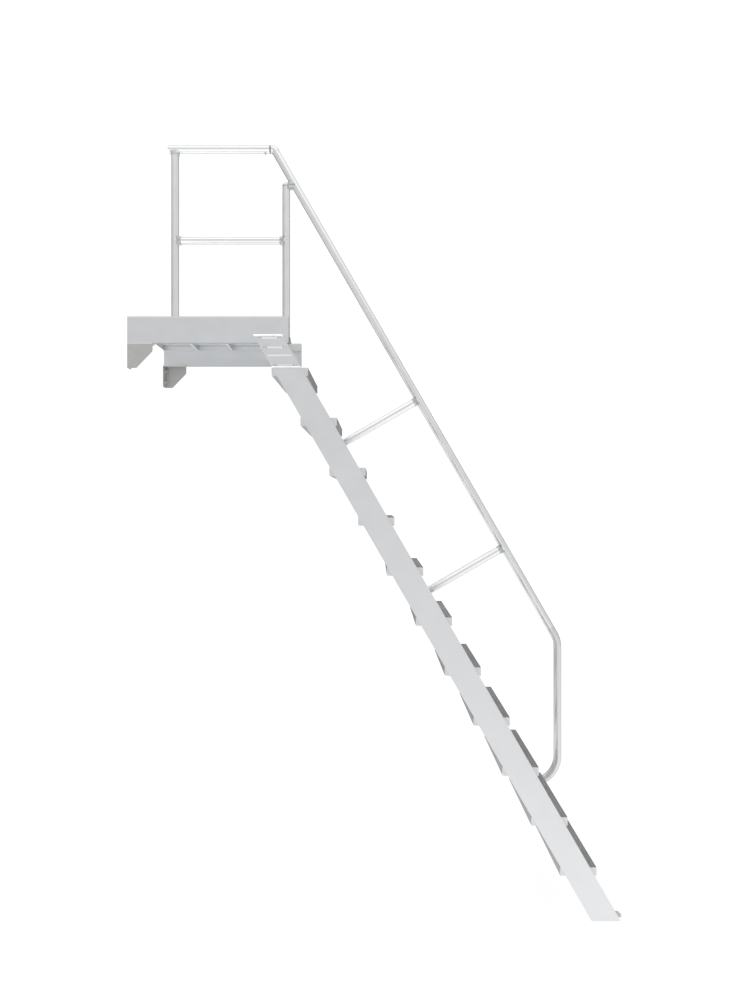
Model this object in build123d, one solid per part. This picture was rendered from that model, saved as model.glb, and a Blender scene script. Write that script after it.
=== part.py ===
from build123d import *
import os
from math import cos, radians, sin, tan

# Platform stair at 60 degrees: two hollow stringers with box treads, a platform hung on wall
# brackets, and a tubular guard and handrail on the climber's right.
# Everything is laid out from the wall (X = 0), the middle of the stair (Y = 0) and the ground
# (Z = 0), in millimetres, and moved at the end so that the origin is on the left wall bracket.

# Flight
STEP_COUNT = 11
RISER = 240.0
STAIR_ANGLE = 60.0
CLEAR_WIDTH = 600.0
NOSING_LEAD = 25.4
TREAD_LEAD = 2.6

# Stringers
STRINGER_DEPTH = 120.0
STRINGER_THICKNESS = 33.0
STRINGER_WALL = 3.0
STRINGER_DROP = 122.0

# Treads
TREAD_DEPTH = 175.0
TREAD_THICKNESS = 40.0
TREAD_WALL = 2.5
TREAD_NOSE_RADIUS = 12.0
TREAD_HEEL_RADIUS = 3.0
TREAD_END_PLATE = 3.0
TREAD_WEBS = 3
TREAD_GROOVES = 12
TREAD_GROOVE_WIDTH = 5.0
TREAD_GROOVE_DEPTH = 1.2

# Platform
BEAM_LENGTH = 769.0
BEAM_DEPTH = 126.0
BEAM_WIDTH = 25.0
BEAM_WALL = 3.0
BEAM_END_PLATE = 3.0
BEAM_LIP = 10.0
BEAM_LIP_RECESS = 1.0
LEDGE_WIDTH = 16.0
LEDGE_THICKNESS = 4.0
DECK_THICKNESS = 40.0
DECK_SKIN = 18.0
DECK_WALL = 2.5
DECK_LEG = 5.0
PLANK_WIDTH = 192.0
PLANK_COUNT = 3
FRONT_PLANK_WIDTH = 118.5
PLANK_GAP = 0.5
PLANK_WEBS = 3
PLANK_END_GAP = 0.3
PLANK_GROOVE_PITCH = 15.0
PLANK_GROOVE_WIDTH = 5.0
PLANK_GROOVE_DEPTH = 1.2

# Wall brackets
BRACKET_REACH = 120.0
BRACKET_DROP = 120.0
BRACKET_PLATE = 5.0
BRACKET_FLANGE = 45.0
BRACKET_NOSE = 40.0
BRACKET_TOE = 43.0
WALL_HOLE = 11.0
WALL_HOLE_INSET = 30.0
BEAM_BOLT_HOLE = 9.0

# Stair connectors, cut at both ends to the slope of the stair; each bar has its drop from the
# connector's top and its half length
CONNECTOR_LAP = 40.0
CONNECTOR_SKIN = 3.0
CONNECTOR_RIB = 9.5
CONNECTOR_WALL = 4.0
CONNECTOR_RIB_EDGE = 1.0
CONNECTOR_BARS = ((17.0, 37.0), (62.0, 37.0), (100.0, 57.0), (147.0, 37.0))

# Floor brackets
FOOT_LEG = 48.0
FOOT_PLATE = 5.0
FOOT_LENGTH = 105.0
FOOT_HEIGHT = 75.0
FOOT_TOE = 20.0
FOOT_LEAD = 13.0
FOOT_STEP = 35.0
FOOT_TOE_RADIUS = 8.0
FLOOR_HOLE = 11.0
FLOOR_HOLE_INSET = 24.0

# Guard and handrail, all in one plane over the right stringer
TUBE_DIAMETER = 42.4
TUBE_WALL = 2.5
STRUT_DIAMETER = 42.4
GUARD_HEIGHT = 1092.8
KNEE_HEIGHT = 580.0
REAR_POST_X = 59.5
FRONT_POST_X = 683.5
FRONT_POST_HEIGHT = 886.0
LINK_HEIGHT = 890.0
RAIL_END_X = 25.5
RAIL_OFFSET = 543.7
RAIL_BEND_RADIUS = 150.0
DROP_X = 2206.8
STUB_STATION = 454.5
STRUT_STATIONS = {"lower_strut": 1694.0, "upper_strut": 2650.0}

# Fittings on the tubes
COLLAR_WALL = 2.4
FOOT_FLARE = 31.0
FOOT_FLARE_HEIGHT = 35.0
FOOT_FLANGE = 3.0
SADDLE_FLARE = 32.0
SADDLE_REACH = 14.0
SADDLE_NECK = 9.0
SADDLE_WRAP = 12.0
FOOT_COLLAR = 5.0
ELBOW_DIAMETER = 46.4
ELBOW_REACH = 17.0
ELBOW_RADIUS = 26.0
CAP_THICKNESS = 4.0
CAP_EDGE = 1.5
DOME_HEIGHT = 18.0
DOME_EDGE = 13.0
FIT = 0.3

# Sizes worked out from those above
slope = radians(STAIR_ANGLE)
platform_height = RISER * (STEP_COUNT + 1)
going = RISER / tan(slope)
inner_y = CLEAR_WIDTH / 2
outer_y = inner_y + STRINGER_THICKNESS
beam_outer_y = inner_y + BEAM_WIDTH
rail_y = inner_y + STRINGER_THICKNESS / 2
beam_bottom = platform_height - BEAM_DEPTH
stringer_top = beam_bottom - STRINGER_DROP
half_cut = STRINGER_DEPTH / 2 / sin(slope)
deck_length = PLANK_COUNT * (PLANK_WIDTH + PLANK_GAP) + FRONT_PLANK_WIDTH
nosing_x = deck_length + NOSING_LEAD
foot_x = nosing_x - TREAD_DEPTH / 2 - TREAD_LEAD + (platform_height - TREAD_THICKNESS / 2) / tan(slope)
tube_radius = TUBE_DIAMETER / 2
strut_radius = STRUT_DIAMETER / 2
collar_bore = tube_radius + FIT
collar_radius = collar_bore + COLLAR_WALL
guard_z = platform_height + GUARD_HEIGHT
knee_z = platform_height + KNEE_HEIGHT
mount_point = Vector(0, -beam_outer_y + BRACKET_FLANGE / 2, beam_bottom - BRACKET_DROP / 2)


def axis_x(height):
    """X of the stringer's middle line at a height above the ground."""
    return foot_x - height / tan(slope)


def rail_x(height):
    """X of the sloped handrail's middle line at a height above the ground."""
    return axis_x(height) + RAIL_OFFSET / sin(slope)


def across(face, low_y, high_y):
    """Extrude an outline drawn in X and Z from low_y to high_y."""
    return extrude(Plane.XZ.offset(-high_y) * face, high_y - low_y)


def along(face, low_x, high_x):
    """Extrude a section drawn in Y and Z from low_x to high_x."""
    return extrude(Plane.YZ.offset(low_x) * face, high_x - low_x)


def block(low, high):
    """A box between two opposite corners."""
    size = [b - a for a, b in zip(low, high)]
    middle = [(a + b) / 2 for a, b in zip(low, high)]
    return Pos(*middle) * Box(*size)


def rectangle(low_u, high_u, low_v, high_v):
    """A rectangle between two corners of its own plane."""
    return Pos((low_u + high_u) / 2, (low_v + high_v) / 2) * Rectangle(high_u - low_u, high_v - low_v)


def sloped_strip(half_width, low_z, high_z):
    """Outline in X and Z that follows the stair, cut level at both ends."""
    return make_face(
        Polyline(
            (axis_x(low_z) - half_width, low_z),
            (axis_x(low_z) + half_width, low_z),
            (axis_x(high_z) + half_width, high_z),
            (axis_x(high_z) - half_width, high_z),
            close=True,
        )
    )


def rib(low):
    """Section of a connector rib, whose face leans in towards its lower edge."""
    high = low + CONNECTOR_RIB
    skin_y = -beam_outer_y - CONNECTOR_SKIN
    return make_face(
        Polyline(
            (skin_y, low),
            (-outer_y, high - CONNECTOR_RIB_EDGE),
            (-outer_y, high),
            (skin_y, high),
            close=True,
        )
    )


def rod(start, end, radius):
    """A solid round bar between two points."""
    run = Vector(*end) - Vector(*start)
    return extrude(Plane(origin=start, z_dir=run) * Circle(radius), run.length)


def pipe(start, end, radius, wall):
    """A round tube between two points."""
    run = Vector(*end) - Vector(*start)
    return extrude(Plane(origin=start, z_dir=run) * (Circle(radius) - Circle(radius - wall)), run.length)


def mirrored(solid):
    """The same piece on the other side of the stair."""
    return mirror(solid, about=Plane.XZ)


def write(name, solid):
    """Write one piece, seen from the left wall bracket."""
    export_step(Pos(*(-mount_point)) * solid, f"parts/{name}.step")


def stringer():
    """Left stringer: a flat-sided box section, cut level at the floor and under the connector."""
    shell = across(sloped_strip(half_cut, 0, stringer_top), -outer_y, -inner_y)
    bore_half = (STRINGER_DEPTH / 2 - STRINGER_WALL) / sin(slope)
    bore = sloped_strip(bore_half, -STRINGER_DEPTH, stringer_top + STRINGER_DEPTH)
    return shell - across(bore, -outer_y + STRINGER_WALL, -inner_y - STRINGER_WALL)


def tread(number):
    """One tread: a closed box with webs and end plates, a round lower nose and grooves on top."""
    top = number * RISER
    front = nosing_x + (STEP_COUNT + 1 - number) * going
    back = front - TREAD_DEPTH
    bottom = top - TREAD_THICKNESS
    outline = rectangle(back, front, bottom, top)
    heel, nose = outline.vertices().group_by(Axis.Y)[0].sort_by(Axis.X)
    outline = fillet(nose, TREAD_NOSE_RADIUS)
    outline = fillet(heel, TREAD_HEEL_RADIUS)
    pitch = TREAD_DEPTH / TREAD_GROOVES
    for index in range(TREAD_GROOVES):
        middle = back + (index + 0.5) * pitch
        half = TREAD_GROOVE_WIDTH / 2
        outline -= rectangle(middle - half, middle + half, top - TREAD_GROOVE_DEPTH, top + TREAD_WALL)
    board = across(outline, -inner_y, inner_y)
    ceiling = top - TREAD_GROOVE_DEPTH - TREAD_WALL
    floor = bottom + TREAD_WALL
    cell = (TREAD_DEPTH - TREAD_WALL) / (TREAD_WEBS + 1)
    room_end = inner_y - TREAD_END_PLATE
    for index in range(TREAD_WEBS + 1):
        low_x = back + TREAD_WALL + index * cell
        room = rectangle(low_x, low_x + cell - TREAD_WALL, floor, ceiling)
        if index == TREAD_WEBS:
            nose_corner = room.vertices().group_by(Axis.Y)[0].sort_by(Axis.X)[-1]
            room = fillet(nose_corner, TREAD_NOSE_RADIUS - TREAD_WALL)
        board -= across(room, -room_end, room_end)
    return board


def platform_beam():
    """Left side beam: a box section closed at its front, with a ledge that carries the deck."""
    top = platform_height
    section = rectangle(-beam_outer_y, -inner_y, beam_bottom, top)
    groove_low = top - BEAM_LIP - BEAM_LIP_RECESS
    section -= rectangle(
        -beam_outer_y - BEAM_WALL, -beam_outer_y + BEAM_LIP_RECESS, groove_low, top - BEAM_LIP
    )
    ledge_top = top - DECK_THICKNESS
    section += rectangle(-inner_y, -inner_y + LEDGE_WIDTH, ledge_top - LEDGE_THICKNESS, ledge_top)
    bore = rectangle(
        -beam_outer_y + BEAM_WALL, -inner_y - BEAM_WALL, beam_bottom + BEAM_WALL, top - BEAM_WALL
    )
    return along(section, 0, BEAM_LENGTH) - along(bore, -BEAM_WALL, BEAM_LENGTH - BEAM_END_PLATE)


def deck_plank(low_x, width):
    """A deck plank: a hollow grooved board on two deep edge legs."""
    top = platform_height
    soffit = top - DECK_SKIN
    bottom = top - DECK_THICKNESS
    section = rectangle(low_x, low_x + width, soffit, top)
    section += rectangle(low_x, low_x + DECK_LEG, bottom, soffit)
    section += rectangle(low_x + width - DECK_LEG, low_x + width, bottom, soffit)
    grooves = int(width / PLANK_GROOVE_PITCH)
    first = low_x + (width - (grooves - 1) * PLANK_GROOVE_PITCH) / 2
    for index in range(grooves):
        middle = first + index * PLANK_GROOVE_PITCH
        half = PLANK_GROOVE_WIDTH / 2
        section -= rectangle(middle - half, middle + half, top - PLANK_GROOVE_DEPTH, top + DECK_WALL)
    ceiling = top - PLANK_GROOVE_DEPTH - DECK_WALL
    cell = (width - DECK_WALL) / (PLANK_WEBS + 1)
    for index in range(PLANK_WEBS + 1):
        room_x = low_x + DECK_WALL + index * cell
        section -= rectangle(room_x, room_x + cell - DECK_WALL, soffit + DECK_WALL, ceiling)
    return across(section, -inner_y + PLANK_END_GAP, inner_y - PLANK_END_GAP)


def wall_bracket():
    """Left wall bracket: a web with a cut corner, a wall flange and a flange under the beam."""
    low_z = beam_bottom - BRACKET_DROP
    outline = make_face(
        Polyline(
            (0, beam_bottom),
            (BRACKET_REACH, beam_bottom),
            (BRACKET_REACH, beam_bottom - BRACKET_NOSE),
            (BRACKET_TOE, low_z),
            (0, low_z),
            close=True,
        )
    )
    inside_y = -beam_outer_y + BRACKET_FLANGE
    bracket = across(outline, -beam_outer_y, -beam_outer_y + BRACKET_PLATE)
    bracket += block((0, -beam_outer_y, low_z), (BRACKET_PLATE, inside_y, beam_bottom))
    flange_low = beam_bottom - BRACKET_PLATE
    bracket += block((0, -beam_outer_y, flange_low), (BRACKET_REACH, inside_y, beam_bottom))
    hole_y = -beam_outer_y + BRACKET_FLANGE / 2
    for hole_z in (low_z + WALL_HOLE_INSET, beam_bottom - WALL_HOLE_INSET):
        bracket -= rod((-FIT, hole_y, hole_z), (BRACKET_PLATE + FIT, hole_y, hole_z), WALL_HOLE / 2)
    bolt_y = -inner_y - BEAM_WIDTH / 2
    for hole_x in (WALL_HOLE_INSET, BRACKET_REACH - WALL_HOLE_INSET):
        low = (hole_x, bolt_y, flange_low - FIT)
        bracket -= rod(low, (hole_x, bolt_y, beam_bottom + FIT), BEAM_BOLT_HOLE / 2)
    return bracket


def stair_connector():
    """Left connector: a ribbed section that laps the beam and stands on the stringer's top."""
    top = beam_bottom + CONNECTOR_LAP
    skin_y = -beam_outer_y - CONNECTOR_SKIN
    section = rectangle(skin_y, -beam_outer_y, stringer_top, top)
    section += rectangle(skin_y, -inner_y, stringer_top, beam_bottom)
    room_count = len(CONNECTOR_BARS) - 1
    cell = (beam_bottom - stringer_top - CONNECTOR_WALL) / room_count
    for index in range(room_count):
        low = stringer_top + CONNECTOR_WALL + index * cell
        section -= rectangle(
            skin_y + CONNECTOR_WALL, -inner_y - CONNECTOR_WALL, low, low + cell - CONNECTOR_WALL
        )
    for lip in (stringer_top, top - CONNECTOR_RIB):
        section += rib(lip)
    low_x = axis_x(top) - half_cut
    high_x = axis_x(stringer_top) + half_cut
    blank = along(section, low_x, high_x)
    connector = blank & across(sloped_strip(half_cut, stringer_top, top), -outer_y, -inner_y)
    for drop, half_length in CONNECTOR_BARS:
        low = top - drop - CONNECTOR_RIB / 2
        ends = across(sloped_strip(half_length, low, low + CONNECTOR_RIB), -outer_y, skin_y)
        connector += along(rib(low), low_x, high_x) & ends
    return connector


def floor_bracket():
    """Left floor bracket: an angle inside the stringer, with a low toe ahead of the stringer."""
    toe_x = axis_x(0) + half_cut + FOOT_LEAD
    heel_x = toe_x - FOOT_LENGTH
    rise = (FOOT_HEIGHT - FOOT_TOE) / tan(slope)
    outline = make_face(
        Polyline(
            (heel_x, 0),
            (toe_x, 0),
            (toe_x, FOOT_TOE),
            (toe_x - FOOT_STEP, FOOT_TOE),
            (toe_x - FOOT_STEP - rise, FOOT_HEIGHT),
            (heel_x, FOOT_HEIGHT),
            close=True,
        )
    )
    toe_corner = outline.vertices().sort_by_distance((toe_x, FOOT_TOE))[0]
    outline = fillet(toe_corner, FOOT_TOE_RADIUS)
    bracket = across(outline, -inner_y, -inner_y + FOOT_PLATE)
    bracket += block((heel_x, -inner_y, 0), (toe_x, -inner_y + FOOT_LEG, FOOT_PLATE))
    hole_y = -inner_y + (FOOT_PLATE + FOOT_LEG) / 2
    for hole_x in (heel_x + FLOOR_HOLE_INSET, toe_x - FLOOR_HOLE_INSET):
        bracket -= rod((hole_x, hole_y, -FIT), (hole_x, hole_y, FOOT_PLATE + FIT), FLOOR_HOLE / 2)
    return bracket


def post_foot(post_x):
    """A trumpet foot on the beam, with a socket for the post."""
    height = FOOT_FLARE_HEIGHT
    flare = TangentArc((collar_radius, height - FOOT_COLLAR), (FOOT_FLARE, FOOT_FLANGE), tangent=(0, -1))
    outline = make_face(
        Polyline((FOOT_FLARE, FOOT_FLANGE), (FOOT_FLARE, 0), (0, 0), (0, height), (collar_radius, height))
        + Line((collar_radius, height), (collar_radius, height - FOOT_COLLAR))
        + flare
    )
    foot = revolve(Plane.XZ * outline, Axis.Z)
    foot -= rod((0, 0, FOOT_FLANGE), (0, 0, height + FIT), collar_bore)
    return Pos(post_x, rail_y, platform_height) * foot


def saddle(seat, branch, main, bore=collar_bore):
    """A flared collar where a tube along branch meets the side of a tube along main."""
    end = tube_radius + SADDLE_REACH
    neck = tube_radius + SADDLE_NECK
    wide = bore + COLLAR_WALL
    flare = TangentArc((wide, neck), (SADDLE_FLARE, SADDLE_WRAP), tangent=(0, -1))
    outline = make_face(
        Polyline((SADDLE_FLARE, SADDLE_WRAP), (0, SADDLE_WRAP), (0, end), (wide, end))
        + Line((wide, end), (wide, neck))
        + flare
    )
    collar = revolve(Plane.XZ * outline, Axis.Z)
    collar &= Box(2 * SADDLE_FLARE, 2 * wide, 2 * end + 2 * SADDLE_FLARE)
    collar -= rod((-SADDLE_FLARE - FIT, 0, 0), (SADDLE_FLARE + FIT, 0, 0), tube_radius + FIT)
    collar -= rod((0, 0, 0), (0, 0, end + FIT), bore)
    return Plane(origin=seat, x_dir=main, z_dir=branch).location * collar


def coped(tube, start, end):
    """Cut a tube's end to the round side of the tube between start and end."""
    return tube - rod(start, end, tube_radius + FIT)


def tube_cap(centre, outward, height=CAP_THICKNESS, edge=CAP_EDGE):
    """A cap with a rounded edge on a tube's end."""
    cap = extrude(Circle(tube_radius), height)
    cap = fillet(cap.edges().sort_by(Axis.Z)[-1], edge)
    return Plane(origin=centre, z_dir=outward).location * cap


def post_link():
    """The fitting that flares onto the front post's side and ends round the sloped handrail."""
    centre_z = platform_height + LINK_HEIGHT
    reach = rail_x(centre_z) - FRONT_POST_X
    flare = TangentArc((collar_radius, reach / 2), (SADDLE_FLARE, SADDLE_WRAP), tangent=(0, -1))
    outline = make_face(
        Polyline((SADDLE_FLARE, SADDLE_WRAP), (0, SADDLE_WRAP), (0, reach), (collar_radius, reach))
        + Line((collar_radius, reach), (collar_radius, reach / 2))
        + flare
    )
    link = revolve(Plane.XZ * outline, Axis.Z)
    link = Plane(origin=(FRONT_POST_X, rail_y, centre_z), z_dir=(1, 0, 0)).location * link
    low_z = centre_z - SADDLE_FLARE
    high_z = centre_z + SADDLE_FLARE
    before_rail = make_face(
        Polyline(
            (FRONT_POST_X, low_z),
            (rail_x(low_z), low_z),
            (rail_x(high_z), high_z),
            (FRONT_POST_X, high_z),
            close=True,
        )
    )
    return link & across(before_rail, rail_y - collar_radius, rail_y + collar_radius)


def rail_elbow():
    """The elbow that joins the guard's top rail to the sloped handrail."""
    corner = Vector(rail_x(guard_z), rail_y, guard_z)
    down = Vector(cos(slope), 0, -sin(slope))
    start = corner - Vector(ELBOW_REACH, 0, 0)
    path = FilletPolyline(start, corner, corner + down * ELBOW_REACH, radius=ELBOW_RADIUS)
    mouth = Plane(origin=start, z_dir=(1, 0, 0))
    elbow = sweep(mouth * Circle(ELBOW_DIAMETER / 2), path=path)
    return elbow - sweep(mouth * Circle(tube_radius - TUBE_WALL), path=path)


def handrail_return(joint):
    """The rail's lower end: it turns upright, drops, and turns in to the stringer."""
    out = Vector(sin(slope), 0, cos(slope))
    drop_top = (DROP_X, rail_y, rail_height_at(DROP_X))
    landing = Vector(axis_x(0), rail_y, 0) + Vector(-cos(slope), 0, sin(slope)) * STUB_STATION
    landing += out * (STRINGER_DEPTH / 2)
    turn_z = landing.Z + (DROP_X - landing.X) / tan(slope)
    path = FilletPolyline(joint, drop_top, (DROP_X, rail_y, turn_z), landing, radius=RAIL_BEND_RADIUS)
    mouth = Plane(origin=joint, z_dir=Vector(*drop_top) - joint)
    rail = sweep(mouth * Circle(tube_radius), path=path)
    return rail - sweep(mouth * Circle(tube_radius - TUBE_WALL), path=path)


def rail_height_at(x):
    """Height of the sloped handrail's middle line at X."""
    return (axis_x(0) + RAIL_OFFSET / sin(slope) - x) * tan(slope)


def build():
    """Build every piece and write it."""
    os.makedirs("parts", exist_ok=True)
    for name, piece in (
        ("stringer", stringer()),
        ("platform_beam", platform_beam()),
        ("wall_bracket", wall_bracket()),
        ("stair_connector", stair_connector()),
        ("floor_bracket", floor_bracket()),
    ):
        write(f"left_{name}", piece)
        write(f"right_{name}", mirrored(piece))
    for number in range(1, STEP_COUNT + 1):
        write(f"tread_{number:02d}", tread(number))
    for index in range(PLANK_COUNT):
        write(f"deck_plank_{index + 1}", deck_plank(index * (PLANK_WIDTH + PLANK_GAP), PLANK_WIDTH))
    front_plank_x = PLANK_COUNT * (PLANK_WIDTH + PLANK_GAP)
    write(f"deck_plank_{PLANK_COUNT + 1}", deck_plank(front_plank_x, FRONT_PLANK_WIDTH))
    build_guard()
    build_handrail()


def build_guard():
    """The platform's guard: posts, feet, top rail, knee rail and their fittings."""
    elbow_x = rail_x(guard_z) - ELBOW_REACH
    post_low = platform_height + FOOT_FLANGE
    rail_start = (RAIL_END_X, rail_y, guard_z)
    rail_end = (elbow_x, rail_y, guard_z)
    write("guard_top_rail", pipe(rail_start, rail_end, tube_radius, TUBE_WALL))
    write("rail_end_cap", tube_cap(rail_start, (-1, 0, 0)))
    rear = pipe((REAR_POST_X, rail_y, post_low), (REAR_POST_X, rail_y, guard_z), tube_radius, TUBE_WALL)
    write("rear_guard_post", coped(rear, rail_start, rail_end))
    front_top = platform_height + FRONT_POST_HEIGHT
    front_end = (FRONT_POST_X, rail_y, front_top)
    write("front_guard_post", pipe((FRONT_POST_X, rail_y, post_low), front_end, tube_radius, TUBE_WALL))
    write("front_post_cap", tube_cap(front_end, (0, 0, 1), DOME_HEIGHT, DOME_EDGE))
    write("rear_post_foot", post_foot(REAR_POST_X))
    write("front_post_foot", post_foot(FRONT_POST_X))
    write("rear_top_saddle", saddle((REAR_POST_X, rail_y, guard_z), (0, 0, -1), (1, 0, 0)))
    knee_start = (REAR_POST_X, rail_y, knee_z)
    knee_end = (FRONT_POST_X, rail_y, knee_z)
    knee = pipe(knee_start, knee_end, tube_radius, TUBE_WALL)
    for post_x in (REAR_POST_X, FRONT_POST_X):
        knee = coped(knee, (post_x, rail_y, platform_height), (post_x, rail_y, guard_z))
    write("knee_rail", knee)
    write("rear_knee_saddle", saddle(knee_start, (1, 0, 0), (0, 0, 1)))
    write("front_knee_saddle", saddle(knee_end, (-1, 0, 0), (0, 0, 1)))


def build_handrail():
    """The sloped handrail, its lower return, its link to the post and its struts."""
    down = Vector(cos(slope), 0, -sin(slope))
    out = Vector(sin(slope), 0, cos(slope))
    corner = Vector(rail_x(guard_z), rail_y, guard_z)
    start = corner + down * ELBOW_REACH
    bend = Vector(DROP_X, rail_y, rail_height_at(DROP_X))
    setback = RAIL_BEND_RADIUS * tan((radians(90) - slope) / 2)
    joint = bend - down * (setback + TUBE_DIAMETER)
    write("rail_elbow", rail_elbow())
    write("sloped_handrail", pipe(start, joint, tube_radius, TUBE_WALL))
    write("handrail_return", handrail_return(joint))
    link = coped(post_link(), (FRONT_POST_X, rail_y, platform_height), (FRONT_POST_X, rail_y, guard_z))
    write("post_to_rail_link", coped(link, start, joint))
    for name, station in STRUT_STATIONS.items():
        base = Vector(axis_x(0), rail_y, 0) - down * station
        seat = base + out * RAIL_OFFSET
        strut = pipe(base + out * (STRINGER_DEPTH / 2), seat, strut_radius, TUBE_WALL)
        write(name, coped(strut, start, joint))
        write(f"{name}_saddle", saddle(seat, -out, down, strut_radius + FIT))


build()
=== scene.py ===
"""Finishes, fasteners, welds and studio for a steep aluminium platform stair.

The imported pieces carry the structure. This script gives each one its finish and adds the small
parts that hold them together. Lengths are in metres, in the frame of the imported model.
"""

import logging
from dataclasses import dataclass, field
from enum import Enum
from math import cos, pi, radians, sin, tan
from typing import Iterable, Sequence

import bmesh
import bpy
from mathutils import Matrix, Vector


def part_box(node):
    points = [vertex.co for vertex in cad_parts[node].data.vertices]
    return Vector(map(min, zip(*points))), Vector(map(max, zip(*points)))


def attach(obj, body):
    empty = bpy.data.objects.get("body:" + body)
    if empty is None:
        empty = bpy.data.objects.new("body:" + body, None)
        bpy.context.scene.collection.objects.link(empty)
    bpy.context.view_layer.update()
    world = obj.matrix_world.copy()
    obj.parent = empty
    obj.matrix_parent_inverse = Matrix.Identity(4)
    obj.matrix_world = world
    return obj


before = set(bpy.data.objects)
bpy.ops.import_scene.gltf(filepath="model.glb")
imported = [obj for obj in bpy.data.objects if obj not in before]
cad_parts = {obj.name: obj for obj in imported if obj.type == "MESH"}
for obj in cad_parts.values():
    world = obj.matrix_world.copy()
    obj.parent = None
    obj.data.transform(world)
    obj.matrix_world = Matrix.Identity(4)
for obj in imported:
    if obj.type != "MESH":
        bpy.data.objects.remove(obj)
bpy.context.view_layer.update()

log = logging.getLogger("platform_stair")
MM = 0.001
BODY = "root"
Number = float | int
Colour = tuple[float, float, float]
Paint = tuple[float, float, float, float]
Profile = Sequence[tuple[float, float]]
X_AXIS, Y_AXIS, Z_AXIS = (Vector(axis) for axis in ((1, 0, 0), (0, 1, 0), (0, 0, 1)))


class Side(Enum):
    """The two sides of the stair, as the climber names them."""

    LEFT = -1
    RIGHT = 1

    @property
    def word(self) -> str:
        """The side's name in a node."""
        return self.name.lower()


class Grain(Enum):
    """The direction in which a piece was extruded or drawn."""

    SLOPE = "slope"
    SQUARE = "square"
    LENGTH = "length"
    WIDTH = "width"
    HEIGHT = "height"


class Signal:
    """A number in a material's nodes that can be used in sums and products."""

    def __init__(self, graph: "Graph", socket: bpy.types.NodeSocket) -> None:
        """Keep the graph that the socket belongs to.

        Args:
            graph: The graph that adds the nodes.
            socket: The output socket that carries the number.
        """
        self.graph = graph
        self.socket = socket

    def _math(
        self, operation: str, first: "Signal | Number", second: "Signal | Number"
    ) -> "Signal":
        """Add one Math node.

        Args:
            operation: The node's operation.
            first: Its first number.
            second: Its second number.

        Returns:
            The node's result.
        """
        return self.graph.number("ShaderNodeMath", {"operation": operation}, {0: first, 1: second})

    def __add__(self, other: "Signal | Number") -> "Signal":
        """Sum."""
        return self._math("ADD", self, other)

    def __radd__(self, other: Number) -> "Signal":
        """Sum with a plain number first."""
        return self._math("ADD", other, self)

    def __sub__(self, other: "Signal | Number") -> "Signal":
        """Difference."""
        return self._math("SUBTRACT", self, other)

    def __rsub__(self, other: Number) -> "Signal":
        """Difference with a plain number first."""
        return self._math("SUBTRACT", other, self)

    def __mul__(self, other: "Signal | Number") -> "Signal":
        """Product."""
        return self._math("MULTIPLY", self, other)

    def __rmul__(self, other: Number) -> "Signal":
        """Product with a plain number first."""
        return self._math("MULTIPLY", other, self)

    def __abs__(self) -> "Signal":
        """Size without sign."""
        return self._math("ABSOLUTE", self, 0.0)

    def __gt__(self, other: "Signal | Number") -> "Signal":
        """One where the number is larger, zero elsewhere."""
        return self._math("GREATER_THAN", self, other)

    def ramp(self, low: float, high: float) -> "Signal":
        """Rise smoothly from zero at low to one at high.

        Args:
            low: Where the rise starts.
            high: Where it ends.

        Returns:
            The eased number.
        """
        settings = {"interpolation_type": "SMOOTHSTEP"}
        values = {0: self, 1: low, 2: high}
        return self.graph.number("ShaderNodeMapRange", settings, values, "Result")


class Graph:
    """Adds nodes to one material or world and links them."""

    def __init__(self, tree: bpy.types.NodeTree) -> None:
        """Start from an empty tree.

        Args:
            tree: The node tree to fill.
        """
        self.tree = tree
        self.tree.nodes.clear()

    def node(
        self, kind: str, settings: dict | None = None, values: dict | None = None
    ) -> bpy.types.Node:
        """Add one node, set it up, and fill or link its sockets.

        Args:
            kind: The node's type.
            settings: Attributes that are set first.
            values: Socket names or numbers, with plain values, sockets or signals.

        Returns:
            The new node.
        """
        node = self.tree.nodes.new(kind)
        for name, value in (settings or {}).items():
            setattr(node, name, value)
        for key, value in (values or {}).items():
            if isinstance(value, Signal):
                value = value.socket
            if isinstance(value, bpy.types.NodeSocket):
                self.tree.links.new(value, node.inputs[key])
            else:
                node.inputs[key].default_value = value
        return node

    def number(self, kind: str, settings: dict, values: dict, output: str | int = 0) -> Signal:
        """Add one node and give its result as a number.

        Args:
            kind: The node's type.
            settings: Attributes that are set first.
            values: Values or links of its sockets.
            output: The socket that carries the result.

        Returns:
            The result.
        """
        return Signal(self, self.node(kind, settings, values).outputs[output])

    def blend(
        self,
        amount: Signal,
        first: Paint | bpy.types.NodeSocket,
        second: Paint | bpy.types.NodeSocket,
    ) -> bpy.types.NodeSocket:
        """Mix two colours.

        Args:
            amount: Zero for the first colour, one for the second.
            first: The first colour, or a socket that carries one.
            second: The second colour, or a socket that carries one.

        Returns:
            The mixed colour's socket.
        """
        settings = {"data_type": "RGBA", "clamp_factor": True}
        mix = self.node("ShaderNodeMix", settings, {0: amount, 6: first, 7: second})
        return mix.outputs[2]


def paint(red: float, green: float, blue: float) -> Paint:
    """A colour in the form that shader sockets take."""
    return (red, green, blue, 1.0)


def shade(colour: Colour, factor: float) -> Paint:
    """The same colour, darker or lighter."""
    return paint(*(min(1.0, channel * factor) for channel in colour))


STAIR_SLOPE = radians(60.0)
# The two directions that lie across each grain
GRAIN_AXES = {
    Grain.SLOPE: (Vector((sin(STAIR_SLOPE), 0, cos(STAIR_SLOPE))), Y_AXIS),
    Grain.SQUARE: (Vector((cos(STAIR_SLOPE), 0, -sin(STAIR_SLOPE))), Y_AXIS),
    Grain.LENGTH: (Z_AXIS, Y_AXIS),
    Grain.WIDTH: (X_AXIS, Z_AXIS),
    Grain.HEIGHT: (X_AXIS, Y_AXIS),
}

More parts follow.
